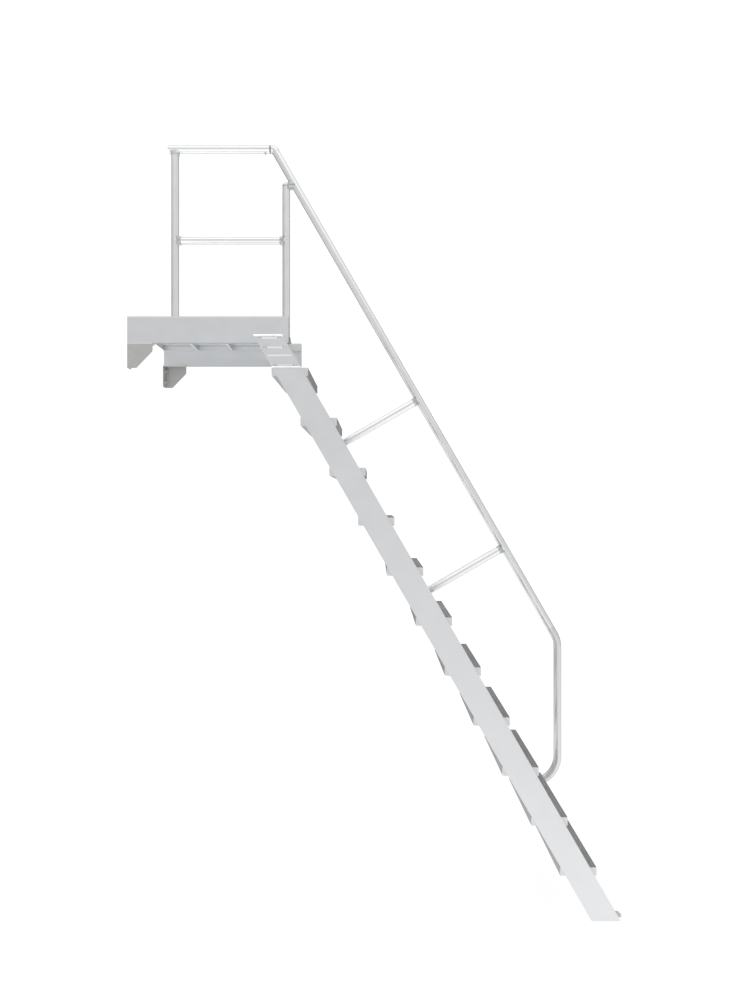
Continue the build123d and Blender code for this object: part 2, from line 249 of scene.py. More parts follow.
# What all metals have in common
LINE_STRETCH = 0.004  # a drawn line's length is its pitch over this
BUMP_STRENGTH = 0.7
MARK_SHARE = 0.35  # how strongly handling marks show
MARK_DEPTH = 1.6  # how dark they are, as a multiple of the mottle
STREAK_TONE = 0.3  # how bright a drawn streak is, beside the metal
WEAR_ROUGHNESS = 0.06  # how far wear spreads the roughness
LINE_ROUGHNESS = 0.08  # how far drawn lines spread it
FACING = 0.7  # a face looks along an axis when its normal has more than this
LIP_DEPTH = 10 * MM  # the lips of beams and connectors


@dataclass(frozen=True)
class Metal:
    """A bare metal finish with drawn lines, handling marks and soft mottling."""

    name: str
    colour: Colour
    roughness: float
    grain: Grain
    line_pitch: float = 0.0022
    line_depth: float = 0.000004
    mottle_size: float = 0.12
    mottle: float = 0.012
    streak: float = 0.01
    metallic: float = 1.0
    edge_tint: float = 1.0

    def place(self, graph: Graph) -> bpy.types.NodeSocket:
        """The point on the surface, in the model's own frame."""
        return graph.node("ShaderNodeTexCoord").outputs["Object"]

    def project(self, graph: Graph, direction: Vector) -> Signal:
        """The point's distance along a direction.

        Args:
            graph: The material's graph.
            direction: A unit vector.

        Returns:
            The distance as a number.
        """
        values = {0: self.place(graph), 1: tuple(direction)}
        return graph.number("ShaderNodeVectorMath", {"operation": "DOT_PRODUCT"}, values, "Value")

    def facing(self, graph: Graph, axis: int) -> Signal:
        """How far the surface looks along one of the model's axes.

        Args:
            graph: The material's graph.
            axis: Zero for X, one for Y, two for Z.

        Returns:
            A number from minus one to one.
        """
        normal = graph.node("ShaderNodeNewGeometry").outputs["Normal"]
        return graph.number("ShaderNodeSeparateXYZ", {}, {0: normal}, axis)

    def lines(self, graph: Graph) -> Signal:
        """Fine lines that run along the extrusion.

        Args:
            graph: The material's graph.

        Returns:
            A number from zero to one.
        """
        across, aside = GRAIN_AXES[self.grain]
        parts = {
            0: self.project(graph, across) * (1.0 / self.line_pitch),
            1: self.project(graph, aside) * (1.0 / self.line_pitch),
            2: self.project(graph, across.cross(aside)) * (LINE_STRETCH / self.line_pitch),
        }
        point = graph.node("ShaderNodeCombineXYZ", None, parts).outputs[0]
        values = {"Vector": point, "Scale": 1.0, "Detail": 3.0, "Roughness": 0.6}
        return graph.number("ShaderNodeTexNoise", {}, values)

    def clouds(self, graph: Graph, size: float, detail: float = 4.0) -> Signal:
        """Soft patches of a given size.

        Args:
            graph: The material's graph.
            size: The patches' size in metres.
            detail: How many finer layers they have.

        Returns:
            A number from zero to one.
        """
        values = {"Vector": self.place(graph), "Scale": 1.0 / size, "Detail": detail}
        return graph.number("ShaderNodeTexNoise", {}, values)

    def base(self, graph: Graph) -> bpy.types.NodeSocket:
        """The metal's colour over the surface.

        Args:
            graph: The material's graph.

        Returns:
            The colour's socket.
        """
        dark = shade(self.colour, 1 - self.mottle)
        light = shade(self.colour, 1 + self.mottle / 3)
        patches = self.clouds(graph, self.mottle_size).ramp(0.35, 0.65)
        plain = graph.blend(patches, dark, light)
        marks = self.clouds(graph, self.mottle_size / 6, 6.0).ramp(0.6, 0.75) * MARK_SHARE
        marked = graph.blend(marks, plain, shade(self.colour, 1 - MARK_DEPTH * self.mottle))
        drawn = self.lines(graph).ramp(0.42, 0.6) * self.streak
        return graph.blend(drawn, marked, shade(self.colour, STREAK_TONE))

    def rough(self, graph: Graph) -> Signal:
        """How rough the metal is over the surface.

        Args:
            graph: The material's graph.

        Returns:
            The roughness.
        """
        worn = (self.clouds(graph, self.mottle_size / 2).ramp(0.3, 0.7) - 0.5) * WEAR_ROUGHNESS
        return self.roughness + worn + (self.lines(graph) - 0.5) * LINE_ROUGHNESS

    def relief(self, graph: Graph) -> Signal:
        """The height that the bump follows, in metres."""
        return self.lines(graph) * self.line_depth

    def material(self) -> bpy.types.Material:
        """Build the material.

        Returns:
            The finished material.
        """
        material = bpy.data.materials.new(self.name)
        material.use_nodes = True
        graph = Graph(material.node_tree)
        depth = {"Strength": BUMP_STRENGTH, "Distance": 1.0, "Height": self.relief(graph)}
        bump = graph.node("ShaderNodeBump", None, depth)
        values = {
            "Base Color": self.base(graph),
            "Roughness": self.rough(graph),
            "Metallic": self.metallic,
            "Specular Tint": paint(self.edge_tint, self.edge_tint, self.edge_tint),
            "Normal": bump.outputs[0],
        }
        shader = graph.node("ShaderNodeBsdfPrincipled", None, values)
        graph.node("ShaderNodeOutputMaterial", None, {"Surface": shader.outputs[0]})
        material.diffuse_color = paint(*self.colour)
        return material


@dataclass(frozen=True)
class Tube(Metal):
    """Rail tube with coarse drawn lines, which stays dull at its edges."""

    line_pitch: float = 0.007
    line_depth: float = 0.00001
    mottle: float = 0.02
    streak: float = 0.08
    edge_tint: float = 0.3


@dataclass(frozen=True)
class Casting(Metal):
    """Cast metal with small soft patches."""

    mottle: float = 0.06
    mottle_size: float = 0.02


@dataclass(frozen=True)
class GroovedTread(Metal):
    """Dark grooved tread metal with bright end plates."""

    end_colour: Colour = (0.8, 0.81, 0.82)
    end_at: float = 0.2972
    middle: float = 0.0
    mottle: float = 0.08

    def base(self, graph: Graph) -> bpy.types.NodeSocket:
        """Dark over the tread, plain on its back face and bright on its end plates.

        Args:
            graph: The material's graph.

        Returns:
            The colour's socket.
        """
        dark = Metal.base(self, graph)
        back = self.facing(graph, 0) * -1.0 > FACING
        body = graph.blend(back, dark, paint(*self.colour))
        from_middle = abs(self.project(graph, Y_AXIS) - self.middle)
        return graph.blend(from_middle > self.end_at, body, paint(*self.end_colour))


@dataclass(frozen=True)
class LippedBeam(Metal):
    """Beam metal with a slightly brighter lip along the top and painted shade on its underside."""

    lip_from: float = 0.0
    lip_factor: float = 1.05
    underside_shade_factor: float = 0.55
    shade_below: float = 0.1

    def base(self, graph: Graph) -> bpy.types.NodeSocket:
        """The metal, brighter on the lip and with painted shade underneath.

        Args:
            graph: The material's graph.

        Returns:
            The colour's socket.
        """
        plain = Metal.base(self, graph)
        height = self.project(graph, Z_AXIS)
        lipped = graph.blend(height > self.lip_from, plain, shade(self.colour, self.lip_factor))
        # Painted shade: faces that look down, well below the lip, are darkened.
        down = self.facing(graph, 2) * -1.0 > FACING
        lowest = self.lip_from - height > self.shade_below
        return graph.blend(down * lowest, lipped, shade(self.colour, self.underside_shade_factor))


@dataclass(frozen=True)
class LeggedPlank(Metal):
    """Deck metal with painted shade on the sides of the planks' legs."""

    mottle: float = 0.03
    leg_shade_factor: float = 0.8

    def base(self, graph: Graph) -> bpy.types.NodeSocket:
        """The metal, with painted shade on the faces that look along the deck.

        Args:
            graph: The material's graph.

        Returns:
            The colour's socket.
        """
        plain = Metal.base(self, graph)
        # Painted shade: the sides of the legs, which face along X, are darkened.
        leg = abs(self.facing(graph, 0)) > FACING
        return graph.blend(leg, plain, shade(self.colour, self.leg_shade_factor))


@dataclass(frozen=True)
class RibbedConnector(Metal):
    """Connector metal with painted shade on its ribs and a painted highlight on the lip at each
    end.
    """

    rib_at: float = 0.3286
    middle: float = 0.0
    lowest: float = 0.0
    highest: float = 0.0
    rib_shade_factor: float = 0.87
    lip_factor: float = 1.22

    def base(self, graph: Graph) -> bpy.types.NodeSocket:
        """The metal, with painted shade on the ribs and a painted highlight on the two lips.

        Args:
            graph: The material's graph.

        Returns:
            The colour's socket.
        """
        plain = Metal.base(self, graph)
        half = (self.highest - self.lowest) / 2
        from_half = abs(self.project(graph, Z_AXIS) - (self.lowest + half))
        # Painted shade on the ribs, with a painted highlight on their top and bottom lips.
        dull = shade(self.colour, self.rib_shade_factor)
        bright = shade(self.colour, self.lip_factor)
        rib = graph.blend(from_half > half - LIP_DEPTH, dull, bright)
        from_middle = abs(self.project(graph, Y_AXIS) - self.middle)
        return graph.blend(from_middle > self.rib_at, plain, rib)


@dataclass(frozen=True)
class Galvanised(Metal):
    """Zinc-coated steel with faint crystal patches and a brighter upper flange."""

    crystal_size: float = 0.012
    stain_size: float = 0.06
    stain_share: float = 0.3
    flange_from: float = 0.055
    flange_factor: float = 1.0

    def base(self, graph: Graph) -> bpy.types.NodeSocket:
        """Zinc crystals of slightly different greys, with soft stains.

        Args:
            graph: The material's graph.

        Returns:
            The colour's socket.
        """
        values = {"Vector": self.place(graph), "Scale": 1.0 / self.crystal_size}
        cells = graph.node("ShaderNodeTexVoronoi", None, values)
        tone = graph.number("ShaderNodeSeparateXYZ", {}, {0: cells.outputs["Color"]})
        crystals = graph.blend(tone, shade(self.colour, 0.96), shade(self.colour, 1.03))
        stains = self.clouds(graph, self.stain_size).ramp(0.5, 0.75) * self.stain_share
        plain = graph.blend(stains, crystals, shade(self.colour, 0.93))
        flange = self.project(graph, Z_AXIS) > self.flange_from
        return graph.blend(flange, plain, shade(self.colour, self.flange_factor))


# Base colours, as shares of full reflection
ALUMINIUM = (0.8, 0.81, 0.82)
BEAM_ALUMINIUM = (0.765, 0.775, 0.785)
# Lighter than the other aluminium; the extra lightness is painted light that offsets the shade
# under the platform.
DECK_ALUMINIUM = (0.88, 0.9, 0.92)
TREAD_GREY = (0.42, 0.42, 0.425)
TUBE_ALUMINIUM = (0.93, 0.935, 0.94)
RETURN_ALUMINIUM = (0.79, 0.795, 0.8)
FITTING_GREY = (0.56, 0.565, 0.57)
FOOT_GREY = (0.36, 0.365, 0.37)
SADDLE_GREY = (0.76, 0.765, 0.77)
GASKET_GREY = (0.3, 0.3, 0.31)
BOLT_GREY = (0.7, 0.7, 0.71)
WELD_GREY = (0.84, 0.85, 0.86)
WALL_ZINC = (0.465, 0.462, 0.451)
FLOOR_ZINC = (0.66, 0.66, 0.655)
TUBE_ROUGHNESS = {Grain.LENGTH: 0.24, Grain.HEIGHT: 0.3, Grain.SLOPE: 0.3, Grain.SQUARE: 0.28}


@dataclass
class Finishes:
    """All finishes of the stair, built once."""

    middle: float
    made: dict[str, bpy.types.Material] = field(default_factory=dict)

    def metals(self) -> list[Metal]:
        """The stair's metals."""
        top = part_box("left_platform_beam")[1].z
        low, high = (corner.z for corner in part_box("left_stair_connector"))
        along, across, upright = Grain.LENGTH, Grain.WIDTH, Grain.HEIGHT
        beam = LippedBeam("beam_metal", BEAM_ALUMINIUM, 0.42, along, lip_from=top - LIP_DEPTH)
        connector = RibbedConnector(
            "connector_metal", ALUMINIUM, 0.4, along, middle=self.middle, lowest=low, highest=high
        )
        return [
            Metal("stringer_metal", ALUMINIUM, 0.42, Grain.SLOPE),
            beam,
            connector,
            GroovedTread("tread_metal", TREAD_GREY, 0.5, across, middle=self.middle),
            LeggedPlank("plank_metal", DECK_ALUMINIUM, 0.45, across),
            *(
                Tube(f"tube_{grain.value}", TUBE_ALUMINIUM, rough, grain)
                for grain, rough in TUBE_ROUGHNESS.items()
            ),
            Tube("return_metal", RETURN_ALUMINIUM, 0.34, upright),
            Casting("fitting_metal", FITTING_GREY, 0.34, upright),
            Casting("foot_metal", FOOT_GREY, 0.36, upright),
            Casting("saddle_metal", SADDLE_GREY, 0.32, upright, mottle=0.05),
            Metal("gasket_metal", GASKET_GREY, 0.5, upright, mottle=0.2, mottle_size=0.01),
            Metal("bolt_metal", BOLT_GREY, 0.34, upright, mottle=0.1, mottle_size=0.01),
            Metal("weld_metal", WELD_GREY, 0.4, upright, mottle=0.1, mottle_size=0.006),
            Galvanised("zinc_metal", WALL_ZINC, 0.5, upright, metallic=0.05, flange_factor=1.5),
            Galvanised("bright_zinc_metal", FLOOR_ZINC, 0.5, upright, metallic=0.3),
        ]

    def build(self) -> None:
        """Make every material."""
        for metal in self.metals():
            self.made[metal.name] = metal.material()

    def dress(self, thing: bpy.types.Object, name: str) -> None:
        """Give a piece its finish.

        Args:
            thing: The piece.
            name: The finish's name.
        """
        thing.data.materials.clear()
        thing.data.materials.append(self.made[name])

    def dress_node(self, node: str, name: str) -> None:
        """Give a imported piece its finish.

        Args:
            node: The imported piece's name.
            name: The finish's name.
        """
        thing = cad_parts[node]
        if not thing.material_slots:
            thing.data.materials.append(self.made[name])
        for place in thing.material_slots:
            place.material = self.made[name]


@dataclass
class Datum:
    """The stair's own reference lines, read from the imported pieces."""

    stringer_depth: float = 120 * MM
    slope: float = STAIR_SLOPE
    ground: float = field(init=False)
    outer: float = field(init=False)
    inner: float = field(init=False)
    far_inner: float = field(init=False)
    far_outer: float = field(init=False)
    middle: float = field(init=False)
    half_cut: float = field(init=False)
    foot: float = field(init=False)
    tube: float = field(init=False)
    rail_y: float = field(init=False)

    def __post_init__(self) -> None:
        """Read the ground, the middle and the stair's line."""
        low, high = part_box("left_stringer")
        far_low, far_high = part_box("right_stringer")
        self.ground = low.z
        self.outer = low.y
        self.inner = high.y
        self.far_inner = far_low.y
        self.far_outer = far_high.y
        self.middle = (low.y + far_high.y) / 2
        self.half_cut = self.stringer_depth / 2 / sin(self.slope)
        self.foot = high.x - self.half_cut
        rail_low, rail_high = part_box("guard_top_rail")
        self.tube = (rail_high.z - rail_low.z) / 2
        self.rail_y = (rail_low.y + rail_high.y) / 2

    def axis_x(self, height: float) -> float:
        """X of the stringer's middle line at a height above the ground."""
        return self.foot - height / tan(self.slope)

    def flip(self, y: float, side: Side) -> float:
        """Y on the given side, from a Y on the left side."""
        return y if side is Side.LEFT else 2 * self.middle - y


def turned(origin: Vector, direction: Vector) -> Matrix:
    """A frame at origin whose Z runs along direction."""
    return Matrix.Translation(origin) @ direction.to_track_quat("Z", "Y").to_matrix().to_4x4()


def polar(radius: float, angle: float, height: float = 0.0) -> Vector:
    """The point at a radius, an angle and a height."""
    return Vector((radius * cos(angle), radius * sin(angle), height))


class Shop:
    """Collects the faces of one piece and turns them into an object."""

    bead_sides: int = 8
    bead_ripple: float = 0.16
    bead_end: float = 0.35

    def __init__(self, name: str) -> None:
        """Start an empty piece.

        Args:
            name: The piece's name.
        """
        self.name = name
        self.mesh = bmesh.new()

    def spin(self, at: Matrix, profile: Profile, sides: int, twist: float = 0.0) -> None:
        """Turn a profile about the frame's Z axis, closed at both ends.

        Args:
            at: The frame.
            profile: Radius and height pairs, from the bottom up.
            sides: How many sides the turned form has.
            twist: The angle of its first side.
        """
        angles = [twist + 2 * pi * index / sides for index in range(sides)]
        rings = [
            [self.mesh.verts.new(at @ polar(radius, angle, height)) for angle in angles]
            for radius, height in profile
        ]
        for below, above in zip(rings, rings[1:]):
            for index in range(sides):
                after = (index + 1) % sides
                self.mesh.faces.new((below[index], below[after], above[after], above[index]))
        self.close(rings)

    def close(self, rings: list[list[bmesh.types.BMVert]]) -> None:
        """Close a row of rings at both ends."""
        self.mesh.faces.new(list(reversed(rings[0])))
        self.mesh.faces.new(rings[-1])

    def hoop(self, at: Matrix, profile: Profile, sides: int) -> None:
        """Turn a closed profile about the frame's Z axis, as a ring.

        Args:
            at: The frame.
            profile: Radius and height pairs round the ring's section.
            sides: How many sides the ring has.
        """
        rings = []
        for index in range(sides):
            angle = 2 * pi * index / sides
            points = [at @ polar(radius, angle, height) for radius, height in profile]
            rings.append([self.mesh.verts.new(point) for point in points])
        for index, ring in enumerate(rings):
            beside = rings[(index + 1) % sides]
            for step in range(len(profile)):
                after = (step + 1) % len(profile)
                self.mesh.faces.new((ring[step], beside[step], beside[after], ring[after]))

    def bead(self, points: Sequence[Vector], radius: float, closed: bool) -> None:
        """Lay a rippled weld bead along points.

        Args:
            points: The bead's middle line.
            radius: Its thickness from the middle line.
            closed: Whether its end meets its start.
        """
        sides = self.bead_sides
        angles = [2 * pi * step / sides for step in range(sides)]
        rings = []
        count = len(points)
        for index, point in enumerate(points):
            before = points[index - 1] if closed or index else point
            after = points[(index + 1) % count] if closed or index < count - 1 else point
            at = turned(point, (after - before).normalized())
            swell = radius * (1 + self.bead_ripple * (index % 2))
            if not closed and index in (0, count - 1):
                swell = radius * self.bead_end
            rings.append([self.mesh.verts.new(at @ polar(swell, angle)) for angle in angles])
        for below, above in zip(rings, rings[1:] + rings[:1] if closed else rings[1:]):
            shift = self.nearest(below, above)
            for step in range(sides):
                after = (step + 1) % sides
                top = (above[(after + shift) % sides], above[(step + shift) % sides])
                self.mesh.faces.new((below[step], below[after], *top))
        if not closed:
            self.close(rings)

    @staticmethod
    def nearest(below: list[bmesh.types.BMVert], above: list[bmesh.types.BMVert]) -> int:
        """The shift that pairs two rings with the least twist."""
        return min(range(len(above)), key=lambda shift: (above[shift].co - below[0].co).length)

    def finish(
        self, finishes: Finishes, metal: str, smooth: float = 40.0
    ) -> bpy.types.Object:
        """Close the piece, dress it and let it ride.

        Args:
            finishes: The stair's finishes.
            metal: The finish's name.
            smooth: Edges under this angle, in degrees, are shaded smooth.

        Returns:
            The finished object.
        """
        bmesh.ops.recalc_face_normals(self.mesh, faces=self.mesh.faces)
        data = bpy.data.meshes.new(self.name)
        self.mesh.to_mesh(data)
        self.mesh.free()
        thing = bpy.data.objects.new(self.name, data)
        bpy.context.scene.collection.objects.link(thing)
        data.shade_smooth()
        data.set_sharp_from_angle(angle=radians(smooth))
        finishes.dress(thing, metal)
        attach(thing, BODY)
        log.info("piece %s: %d faces", self.name, len(data.polygons))
        return thing


@dataclass
class Bolt:
    """A hexagon bolt or nut with its washer."""

    across_flats: float = 13 * MM
    head: float = 5.3 * MM
    washer_radius: float = 8 * MM
    washer: float = 1.6 * MM
    shank_radius: float = 4 * MM
    tail: float = 0.0
    washer_rim: float = 0.15
    head_bevel: float = 0.12

    def build(self, shop: Shop, origin: Vector, direction: Vector, twist: float = 0.2) -> None:
        """Add the washer, the head and any tail, standing on origin.

        Args:
            shop: The piece to add to.
            origin: The point on the surface.
            direction: The way the head stands out.
            twist: The head's turn.
        """
        at = turned(origin, direction)
        rim = self.washer_rim * self.washer
        edge = self.washer_radius
        seat = self.washer
        shop.spin(at, ((edge - rim, 0), (edge, rim), (edge, seat - rim), (edge - rim, seat)), 24)
        corner = self.across_flats / 2 / cos(pi / 6)
        top = seat + self.head
        bevel = self.head_bevel * self.head
        shop.spin(at, ((corner, seat), (corner, top - bevel), (0.9 * corner, top)), 6, twist)
        if self.tail:
            shank = self.shank_radius
            end = top + self.tail
            lead = 3 * rim
            shop.spin(at, ((shank, top), (shank, end - lead), (shank - lead, end)), 16)


@dataclass
class ButtonScrew:
    """A low round-headed screw with a socket."""

    radius: float = 8.7 * MM
    head: float = 4.8 * MM
    socket: float = 3 * MM
    dome_turns: tuple[float, ...] = (0.0, 0.3, 0.6, 0.9, 1.15)

    def build(self, shop: Shop, origin: Vector, direction: Vector) -> None:
        """Add the head, standing on origin.

        Args:
            shop: The piece to add to.
            origin: The point on the surface.
            direction: The way the head stands out.
        """
        dome = [(self.radius * cos(turn), self.head * sin(turn)) for turn in self.dome_turns]
        shape = ((1.15, 1.0), (1.0, 0.95), (1.0, 0.35))
        well = [(self.socket * wide, self.head * high) for wide, high in shape]
        shop.spin(turned(origin, direction), dome + well, 24)


@dataclass
class ConnectorBolts:
    """The screws and nuts through the two ribbed connectors."""

    datum: Datum
    finishes: Finishes
    aside: float = 47 * MM
    skin: float = 28 * MM
    nut: float = 4.5 * MM
    drops: tuple[float, ...] = (17 * MM, 62 * MM, 147 * MM)

    def build(self) -> None:
        """Build one piece for each side."""
        for side in Side:
            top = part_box(f"{side.word}_stair_connector")[1].z
            heads = Shop(f"{side.word}_connector_screws")
            nuts = Shop(f"{side.word}_connector_nuts")
            outward = side.value * Y_AXIS
            outer_y = self.datum.flip(self.datum.inner - self.skin, side)
            inner_y = self.datum.flip(self.datum.inner, side)
            for drop in self.drops:
                height = top - drop
                for offset in (-self.aside, self.aside):
                    x = self.datum.axis_x(height - self.datum.ground) + offset
                    ButtonScrew().build(heads, Vector((x, outer_y, height)), outward)
                    Bolt(head=self.nut).build(nuts, Vector((x, inner_y, height)), -outward)
            heads.finish(self.finishes, "bolt_metal")
            nuts.finish(self.finishes, "bolt_metal")


@dataclass
class WallFixings:
    """The anchors and beam bolts of the wall brackets."""

    datum: Datum
    finishes: Finishes
    plate: float = 5 * MM
    inset: float = 30 * MM
    reach: float = 120 * MM
    beam_width: float = 25 * MM

    def build(self) -> None:
        """Build one piece for each side."""
        for side in Side:
            low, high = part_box(f"{side.word}_wall_bracket")
            bolts = Shop(f"{side.word}_wall_bracket_bolts")
            anchor = Bolt(
                across_flats=17 * MM,
                head=6.4 * MM,
                washer_radius=10 * MM,
                washer=2 * MM,
                shank_radius=5 * MM,
                tail=8 * MM,
            )
            y = (low.y + high.y) / 2
            for z in (low.z + self.inset, high.z - self.inset):
                anchor.build(bolts, Vector((self.plate, y, z)), X_AXIS)
            y = self.datum.flip(self.datum.inner - self.beam_width / 2, side)
            for x in (self.inset, self.reach - self.inset):
                Bolt().build(bolts, Vector((x, y, high.z - self.plate)), -Z_AXIS)
            bolts.finish(self.finishes, "zinc_metal")


@dataclass
class FloorFixings:
    """The anchors and stringer bolts of the floor brackets."""

    datum: Datum
    finishes: Finishes
    plate: float = 5 * MM
    inset: float = 24 * MM
    rise: float = 45 * MM
    aside: float = 18 * MM

    def build(self) -> None:
        """Build one piece for each side."""
        for side in Side:
            low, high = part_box(f"{side.word}_floor_bracket")
            bolts = Shop(f"{side.word}_floor_bracket_bolts")
            inward = -side.value * Y_AXIS
            plate_y = self.datum.flip(self.datum.inner + self.plate, side)
            anchor_y = (low.y + high.y + inward.y * self.plate) / 2
            anchor = Bolt(
                across_flats=17 * MM, head=7 * MM, washer_radius=10 * MM, washer=2 * MM
            )
            for x in (low.x + self.inset, high.x - self.inset):
                anchor.build(bolts, Vector((x, anchor_y, low.z + self.plate)), Z_AXIS)
            for offset in (-self.aside, self.aside):
                x = self.datum.axis_x(self.rise) + offset
                Bolt().build(bolts, Vector((x, plate_y, low.z + self.rise)), inward)
            bolts.finish(self.finishes, "bolt_metal")


@dataclass
class TreadWelds:
    """The weld beads where each tread meets the stringers."""

    datum: Datum
    finishes: Finishes
    treads: int = 11
    radius: float = 2.2 * MM
    proud: float = 0.4
    step: float = 2.4 * MM
    margin: float = 6 * MM

    def run(self, start: Vector, end: Vector) -> list[Vector]:
        """Points of a straight bead.

        Args:
            start: The bead's start.
            end: Its end.

        Returns:
            Evenly spaced points.
        """
        count = max(2, round((end - start).length / self.step))
        return [start.lerp(end, index / count) for index in range(count + 1)]

    def build(self) -> None:
        """Build one piece for each side."""
        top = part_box("left_stringer")[1].z
        reach = self.datum.half_cut - self.margin
        for side in Side:
            beads = Shop(f"{side.word}_tread_welds")
            y = self.datum.flip(self.datum.inner + self.proud * self.radius, side)
            for number in range(1, self.treads + 1):
                low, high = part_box(f"tread_{number:02d}")
                for z in (low.z, high.z):
                    if z > top:
                        continue
                    middle = self.datum.axis_x(z - self.datum.ground)
                    start = Vector((middle - reach, y, z))
                    end = Vector((middle + reach, y, z))
                    beads.bead(self.run(start, end), self.radius, closed=False)
            beads.finish(self.finishes, "weld_metal", 180.0)


@dataclass
class HandrailWelds:
    """The ring welds where the struts and the rail's return land on the right stringer."""

    datum: Datum
    finishes: Finishes
    stations: tuple[float, ...] = (0.4545, 1.694, 2.65)
    radius: float = 1.7 * MM
    step: float = 2.4 * MM

    def build(self) -> None:
        """Build one piece with all the rings."""
        rings = Shop("handrail_welds")
        up = Vector((-cos(self.datum.slope), 0, sin(self.datum.slope)))
        out = Vector((sin(self.datum.slope), 0, cos(self.datum.slope)))
        start = Vector((self.datum.foot, self.datum.rail_y, self.datum.ground))
        radius = self.datum.tube
        count = 2 * round(pi * radius / self.step)
        edge_near = self.datum.far_inner - self.datum.rail_y
        edge_far = self.datum.far_outer - self.datum.rail_y
        for station in self.stations:
            centre = start + up * station + out * (self.datum.stringer_depth / 2)
            points = []
            for index in range(count):
                angle = 2 * pi * index / count
                aside = min(max(radius * cos(angle), edge_near), edge_far)
                points.append(centre + Vector((0, aside, 0)) + up * (radius * sin(angle)))
            rings.bead(points, self.radius, closed=True)
        rings.finish(self.finishes, "weld_metal", 180.0)


@dataclass
class FittingScrews:
    """The small screws that pinch the tube fittings."""

    datum: Datum
    finishes: Finishes
    screw: ButtonScrew = field(default_factory=lambda: ButtonScrew(3.6 * MM, 1.6 * MM, 1.4 * MM))
    lock: ButtonScrew = field(default_factory=lambda: ButtonScrew(8 * MM, 7 * MM, 2.5 * MM))
    lock_from_end: float = 33 * MM
    collar_wall: float = 2.6 * MM
    from_rim: float = 3 * MM

    def build(self) -> None:
        """Build one piece with all the screws."""
        screws = Shop("fitting_screws")
        collar = self.datum.tube + self.collar_wall
        for post in ("rear", "front"):
            low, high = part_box(f"{post}_post_foot")
            x = (low.x + high.x) / 2
            for turn in (-1, 1):
                point = Vector((x, self.datum.rail_y + turn * collar, high.z - self.from_rim))
                self.screw.build(screws, point, turn * Y_AXIS)
        low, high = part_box("guard_top_rail")
        point = Vector((high.x - self.lock_from_end, self.datum.rail_y, low.z))
        self.lock.build(screws, point, -Z_AXIS)
        low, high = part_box("rear_top_saddle")
        x = (low.x + high.x) / 2
        point = Vector((x, self.datum.rail_y - collar, low.z + self.from_rim))
        self.screw.build(screws, point, -Y_AXIS)
        screws.finish(self.finishes, "bolt_metal")


@dataclass
class RailJoints:
    """The dark rings where the elbow and the post's cap meet their tubes."""

    datum: Datum
    finishes: Finishes
    proud: float = 0.5 * MM
    elbow_wide: float = 9 * MM
    cap_wide: float = 2.5 * MM

    def ring(self, shop: Shop, origin: Vector, direction: Vector, wide: float) -> None:
        """Add a ring round a tube.

        Args:
            shop: The piece to add to.
            origin: Where the ring starts, on the tube's middle line.
            direction: The way it runs along the tube.
            wide: How wide it is along the tube.
        """
        rim = 0.25 * self.proud
        inner = self.datum.tube
        outer = inner + self.proud
        lower = ((inner, 0), (outer - rim, 0), (outer, rim))
        upper = ((outer, wide - rim), (outer - rim, wide), (inner, wide))
        shop.hoop(turned(origin, direction), lower + upper, 40)

    def build(self) -> None:
        """Build one piece with all the rings."""
        rings = Shop("rail_joint_rings")
        low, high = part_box("guard_top_rail")
        mouth = Vector((high.x, self.datum.rail_y, (low.z + high.z) / 2))
        self.ring(rings, mouth, -X_AXIS, self.elbow_wide)
        low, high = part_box("front_post_cap")
        seat = Vector(((low.x + high.x) / 2, self.datum.rail_y, low.z))
        self.ring(rings, seat, -Z_AXIS, self.cap_wide)
        rings.finish(self.finishes, "gasket_metal")


@dataclass
class PackedPieces:
    """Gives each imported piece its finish."""

    finishes: Finishes
    treads: int = 11
    planks: int = 4

    def rules(self) -> Iterable[tuple[str, str]]:
        """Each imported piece's name with its finish's name.

        Returns:
            The pairs.
        """
        for side in Side:
            yield f"{side.word}_stringer", "stringer_metal"
            yield f"{side.word}_platform_beam", "beam_metal"
            yield f"{side.word}_stair_connector", "connector_metal"
            yield f"{side.word}_wall_bracket", "zinc_metal"
            yield f"{side.word}_floor_bracket", "bright_zinc_metal"
        for number in range(1, self.treads + 1):
            yield f"tread_{number:02d}", "tread_metal"
        for number in range(1, self.planks + 1):
            yield f"deck_plank_{number}", "plank_metal"
        for name in ("guard_top_rail", "knee_rail", "rail_elbow", "rail_end_cap"):
            yield name, "tube_length"
        for name in ("rear_guard_post", "front_guard_post", "front_post_cap"):
            yield name, "tube_height"
        yield "sloped_handrail", "tube_slope"
        yield "handrail_return", "return_metal"
        for name in ("lower_strut", "upper_strut"):
            yield name, "tube_square"
            yield f"{name}_saddle", "fitting_metal"
        for name in ("rear_post_foot", "front_post_foot"):
            yield name, "foot_metal"
        yield "rear_top_saddle", "saddle_metal"
        for name in ("rear_knee_saddle", "front_knee_saddle", "post_to_rail_link"):
            yield name, "fitting_metal"

    def dress(self) -> None:
        """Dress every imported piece."""
        dressed = set()
        for node, metal in self.rules():
            self.finishes.dress_node(node, metal)
            dressed.add(node)
        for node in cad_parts:
            if node not in dressed:
                log.warning("node %s has no rule", node)


